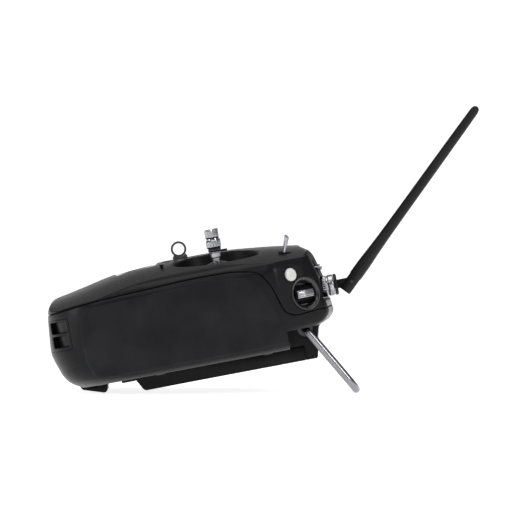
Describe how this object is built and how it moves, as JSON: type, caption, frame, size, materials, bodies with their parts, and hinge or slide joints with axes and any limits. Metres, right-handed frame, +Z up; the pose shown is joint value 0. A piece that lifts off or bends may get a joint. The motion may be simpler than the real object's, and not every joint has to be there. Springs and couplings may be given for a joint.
{
  "type": "radio transmitter controller",
  "caption": "Handheld radio-control transmitter with gimbal sticks, toggles, thumb rollers, a folding antenna and a carrying handle it stands on.",
  "frame": {"origin": "middle of the object's box on the table it stands on, resting on its rear foot and its handle", "axes": "+Z up, +Y from the grip end towards the antenna, +X to the device's right as held; the front face looks up and is tilted 10.7 degrees"},
  "size_m": [0.1916, 0.2602, 0.173],
  "materials": {
    "case_plastic": "fine moulded texture",
    "bay_plastic": "coarse moulded texture",
    "grip_skin": "soft-touch skin",
    "lens": "smoked, gloss",
    "board": "lacquered board",
    "battery_wrap": "shrink wrap",
    "antenna_plastic": "satin",
    "satin_metal": "satin machined",
    "screw_steel": "blackened",
    "key_plastic": "satin",
    "gimbal_plastic": "moulded",
    "dome_gloss": "gloss",
    "stick_metal": "machined, fluted",
    "dark_metal": "anodised dark",
    "chrome": "polished",
    "button_white": "satin gloss"
  },
  "bodies": {
    "case": {"antenna_bay_plate": "bay_plastic", "corner_vents": "case_plastic", "display_lens": "lens", "front_case": "case_plastic", "rear_case": "case_plastic", "right_grip_panel": "grip_skin", "left_grip_panel": "grip_skin", "rear_foot": "case_plastic", "battery_pack": "battery_wrap", "main_board": "board", "radio_board": "board", "display_module": "board", "speaker": "screw_steel", "antenna_connector": "satin_metal", "antenna_nut": "satin_metal", "strap_ring": "satin_metal", "strap_bracket": "satin_metal", "case_screws": "screw_steel", "right_gimbal_frame": "gimbal_plastic", "left_gimbal_frame": "gimbal_plastic", "handle_bushes": "satin_metal", "gimbal_bezels": "case_plastic", "button_housings": "bay_plastic", "dial_housings": "case_plastic", "toggle_switches": "bay_plastic"},
    "handle": {"handle": "satin_metal"},
    "antenna_swivel": {"antenna_swivel": "antenna_plastic"},
    "antenna_mast": {"antenna_mast": "antenna_plastic", "antenna_hinge_pin": "satin_metal"},
    "right_yoke": {"right_gimbal_yoke": "gimbal_plastic"},
    "right_stick": {"right_gimbal_dome": "dome_gloss", "right_stick_shaft": "stick_metal", "right_stick_lock_ring": "dark_metal", "right_stick_grip": "stick_metal", "right_stick_tip": "stick_metal"},
    "right_front_toggle": {"right_front_toggle_lever": "chrome"},
    "right_end_toggle": {"right_end_toggle_lever": "chrome"},
    "right_button": {"right_button": "button_white"},
    "right_roller": {"right_roller": "case_plastic", "right_roller_bar": "satin_metal"},
    "left_yoke": {"left_gimbal_yoke": "gimbal_plastic"},
    "left_stick": {"left_gimbal_dome": "dome_gloss", "left_stick_shaft": "stick_metal", "left_stick_lock_ring": "dark_metal", "left_stick_grip": "stick_metal", "left_stick_tip": "stick_metal"},
    "left_front_toggle": {"left_front_toggle_lever": "chrome"},
    "left_end_toggle": {"left_end_toggle_lever": "chrome"},
    "left_button": {"left_button": "button_white"},
    "left_roller": {"left_roller": "case_plastic", "left_roller_bar": "satin_metal"},
    "aileron_trim": {"aileron_trim_lever": "key_plastic"},
    "elevator_trim": {"elevator_trim_lever": "key_plastic"},
    "rudder_trim": {"rudder_trim_lever": "key_plastic"},
    "throttle_trim": {"throttle_trim_lever": "key_plastic"},
    "enter_key": {"enter_key": "key_plastic"},
    "back_key": {"back_key": "key_plastic"},
    "power_switch": {"power_switch": "key_plastic"},
    "battery_cover": {"battery_cover": "case_plastic"},
    "battery_latch": {"battery_latch": "case_plastic"}
  },
  "joints": [
    {"name": "handle_fold", "type": "hinge", "parent": "case", "child": "handle", "pos_m": [0, 0.02419, 0.03869], "axis": [1, 0, 0], "range_deg": [-91, 0]},
    {"name": "antenna_turn", "type": "hinge", "parent": "case", "child": "antenna_swivel", "pos_m": [0, 0.04423, 0.06508], "axis": [0, 0.9825, 0.1862], "range_deg": [-90, 90]},
    {"name": "antenna_fold", "type": "hinge", "parent": "antenna_swivel", "child": "antenna_mast", "pos_m": [0, 0.05278, 0.0667], "axis": [1, 0, 0], "range_deg": [-43.5, 46.5]},
    {"name": "right_stick_up_down", "type": "hinge", "parent": "case", "child": "right_yoke", "pos_m": [0.05, -0.0263, 0.06505], "axis": [1, 0, 0], "range_deg": [-20, 20], "stiffness_Nm_per_rad": 0.05},
    {"name": "right_stick_left_right", "type": "hinge", "parent": "right_yoke", "child": "right_stick", "pos_m": [0.05, -0.0263, 0.06505], "axis": [0, 0.9825, 0.1862], "range_deg": [-20, 20], "stiffness_Nm_per_rad": 0.05},
    {"name": "right_front_toggle_throw", "type": "hinge", "parent": "case", "child": "right_front_toggle", "pos_m": [0.06, 0.01106, 0.08056], "axis": [1, 0, 0], "range_deg": [0, 24]},
    {"name": "right_end_toggle_throw", "type": "hinge", "parent": "case", "child": "right_end_toggle", "pos_m": [0.062, 0.02017, 0.07604], "axis": [1, 0, 0], "range_deg": [0, 24]},
    {"name": "right_button_press", "type": "slide", "parent": "case", "child": "right_button", "axis": [-0.8137, -0.5522, -0.1817], "range_m": [0, 0.0012], "stiffness_N_per_m": 300},
    {"name": "right_roller_turn", "type": "hinge", "parent": "case", "child": "right_roller", "pos_m": [0.07769, 0.02032, 0.05953], "axis": [-0.543, 0.825, 0.1563], "range_deg": [-22, 22]},
    {"name": "left_stick_up_down", "type": "hinge", "parent": "case", "child": "left_yoke", "pos_m": [-0.05, -0.0263, 0.06505], "axis": [1, 0, 0], "range_deg": [-20, 20]},
    {"name": "left_stick_left_right", "type": "hinge", "parent": "left_yoke", "child": "left_stick", "pos_m": [-0.05, -0.0263, 0.06505], "axis": [0, 0.9825, 0.1862], "range_deg": [-20, 20], "stiffness_Nm_per_rad": 0.05},
    {"name": "left_front_toggle_throw", "type": "hinge", "parent": "case", "child": "left_front_toggle", "pos_m": [-0.06, 0.01106, 0.08056], "axis": [1, 0, 0], "range_deg": [0, 24]},
    {"name": "left_end_toggle_throw", "type": "hinge", "parent": "case", "child": "left_end_toggle", "pos_m": [-0.062, 0.02017, 0.07604], "axis": [1, 0, 0], "range_deg": [0, 24]},
    {"name": "left_button_press", "type": "slide", "parent": "case", "child": "left_button", "axis": [0.8137, -0.5522, -0.1817], "range_m": [0, 0.0012], "stiffness_N_per_m": 300},
    {"name": "left_roller_turn", "type": "hinge", "parent": "case", "child": "left_roller", "pos_m": [-0.07769, 0.02032, 0.05953], "axis": [0.543, 0.825, 0.1563], "range_deg": [-22, 22]},
    {"name": "aileron_trim_slide", "type": "slide", "parent": "case", "child": "aileron_trim", "axis": [1, 0, 0], "range_m": [-0.0025, 0.0025], "stiffness_N_per_m": 80},
    {"name": "elevator_trim_slide", "type": "slide", "parent": "case", "child": "elevator_trim", "axis": [0, 0.9825, 0.1862], "range_m": [-0.0025, 0.0025], "stiffness_N_per_m": 80},
    {"name": "rudder_trim_slide", "type": "slide", "parent": "case", "child": "rudder_trim", "axis": [1, 0, 0], "range_m": [-0.0025, 0.0025], "stiffness_N_per_m": 80},
    {"name": "throttle_trim_slide", "type": "slide", "parent": "case", "child": "throttle_trim", "axis": [0, 0.9825, 0.1862], "range_m": [-0.0025, 0.0025], "stiffness_N_per_m": 80},
    {"name": "enter_key_press", "type": "slide", "parent": "case", "child": "enter_key", "axis": [0, 0.1862, -0.9825], "range_m": [0, 0.0008], "stiffness_N_per_m": 300},
    {"name": "back_key_press", "type": "slide", "parent": "case", "child": "back_key", "axis": [0, 0.1862, -0.9825], "range_m": [0, 0.0008], "stiffness_N_per_m": 300},
    {"name": "power_slide", "type": "slide", "parent": "case", "child": "power_switch", "axis": [0, 0.9825, 0.1862], "range_m": [0, 0.004]},
    {"name": "battery_cover_slide", "type": "slide", "parent": "case", "child": "battery_cover", "axis": [0, -0.9825, -0.1862], "range_m": [0, 0.0055]},
    {"name": "battery_latch_pull", "type": "slide", "parent": "battery_cover", "child": "battery_latch", "axis": [0, -0.9825, -0.1862], "range_m": [0, 0.0015], "stiffness_N_per_m": 300}
  ]
}
